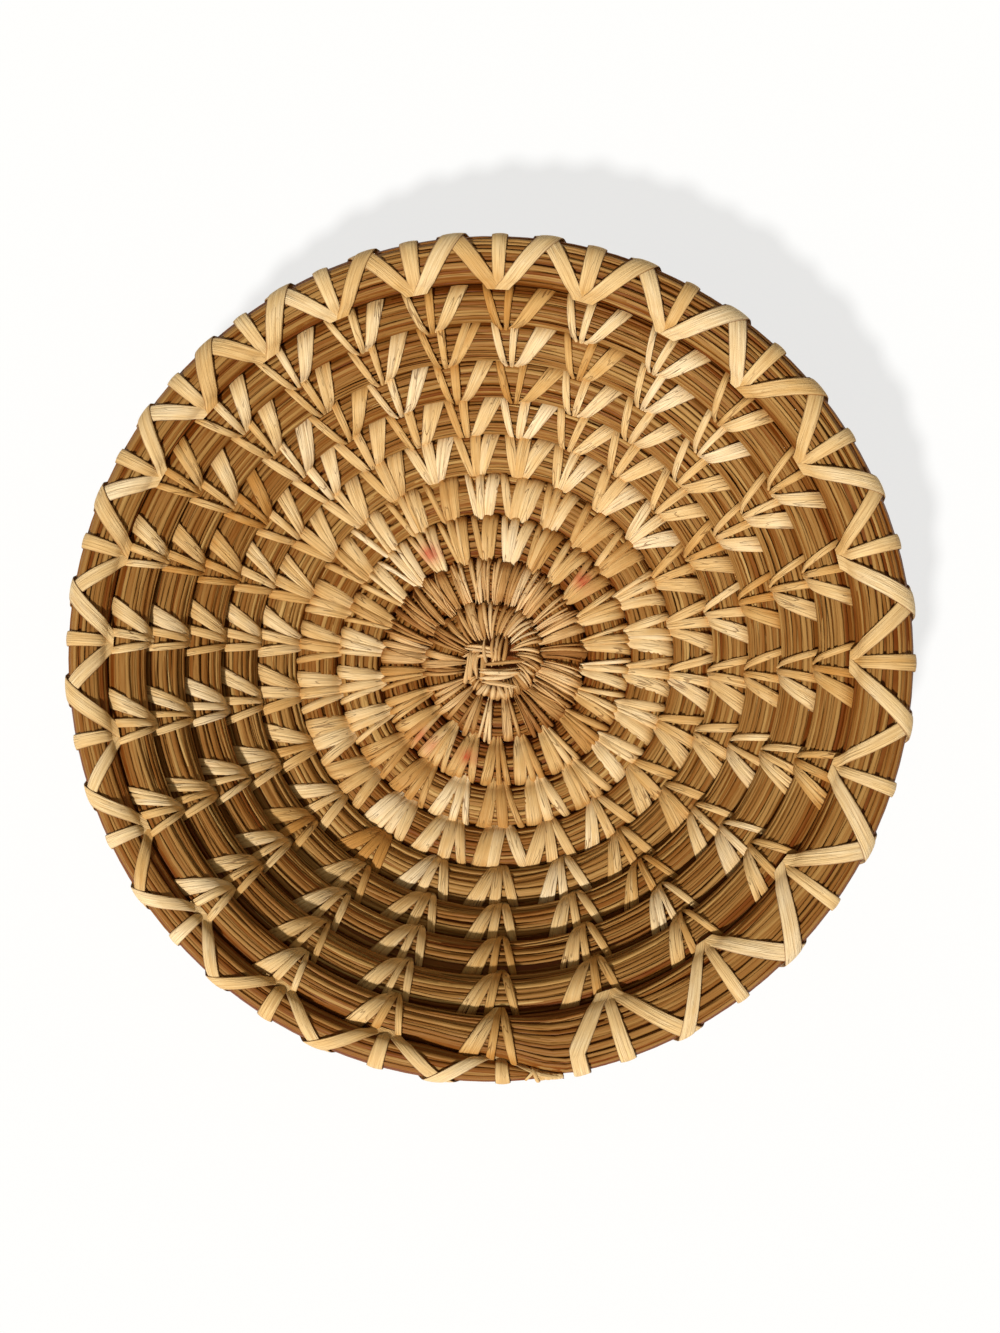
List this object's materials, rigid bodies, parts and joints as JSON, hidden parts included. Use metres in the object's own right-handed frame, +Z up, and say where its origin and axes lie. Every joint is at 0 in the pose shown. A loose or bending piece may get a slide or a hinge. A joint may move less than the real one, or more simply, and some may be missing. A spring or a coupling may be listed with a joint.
{
  "type": "coiled basket tray",
  "caption": "Shallow round coiled basket: a spiral grass bundle sewn in columns of forked leaf-strip stitches, with a zigzag rim, for holding small things.",
  "frame": {"origin": "middle of the underside, on the flat foot of the start knot, at the level of the surface that the basket stands on", "axes": "+Z up out of the bowl; the tail of the grass bundle ends at 281 degrees from +X about +Z"},
  "size_m": [0.2225, 0.2226, 0.0526],
  "materials": {
    "grass": "dry brown grass strands, satin",
    "leaf": "pale split leaf strip, satin",
    "rim_leaf": "pale split leaf strip, satin"
  },
  "bodies": {
    "root": {"foundation_coil": "grass", "start_knot": "rim_leaf", "base_stitches_01": "leaf", "base_stitches_02": "leaf", "base_stitches_03": "leaf", "base_stitches_04": "leaf", "base_stitches_05": "leaf", "base_stitches_06": "leaf", "base_stitches_07": "leaf", "base_stitches_08": "leaf", "base_stitches_09": "leaf", "base_stitches_10": "leaf", "base_stitches_11": "leaf", "base_stitches_12": "leaf", "base_stitches_13": "leaf", "base_stitches_14": "leaf", "base_stitches_15": "leaf", "base_stitches_16": "leaf", "base_stitches_17": "leaf", "base_stitches_18": "leaf", "base_stitches_19": "leaf", "base_stitches_20": "leaf", "base_stitches_21": "leaf", "base_stitches_22": "leaf", "base_stitches_23": "leaf", "base_stitches_24": "leaf", "wall_stitches_01": "leaf", "wall_stitches_02": "leaf", "wall_stitches_03": "leaf", "wall_stitches_04": "leaf", "wall_stitches_05": "leaf", "wall_stitches_06": "leaf", "wall_stitches_07": "leaf", "wall_stitches_08": "leaf", "wall_stitches_09": "leaf", "wall_stitches_10": "leaf", "wall_stitches_11": "leaf", "wall_stitches_12": "leaf", "wall_stitches_13": "leaf", "wall_stitches_14": "leaf", "wall_stitches_15": "leaf", "wall_stitches_16": "leaf", "wall_stitches_17": "leaf", "wall_stitches_18": "leaf", "wall_stitches_19": "leaf", "wall_stitches_20": "leaf", "wall_stitches_21": "leaf", "wall_stitches_22": "leaf", "wall_stitches_23": "leaf", "wall_stitches_24": "leaf", "rim_zigzag": "rim_leaf"}
  },
  "joints": []
}
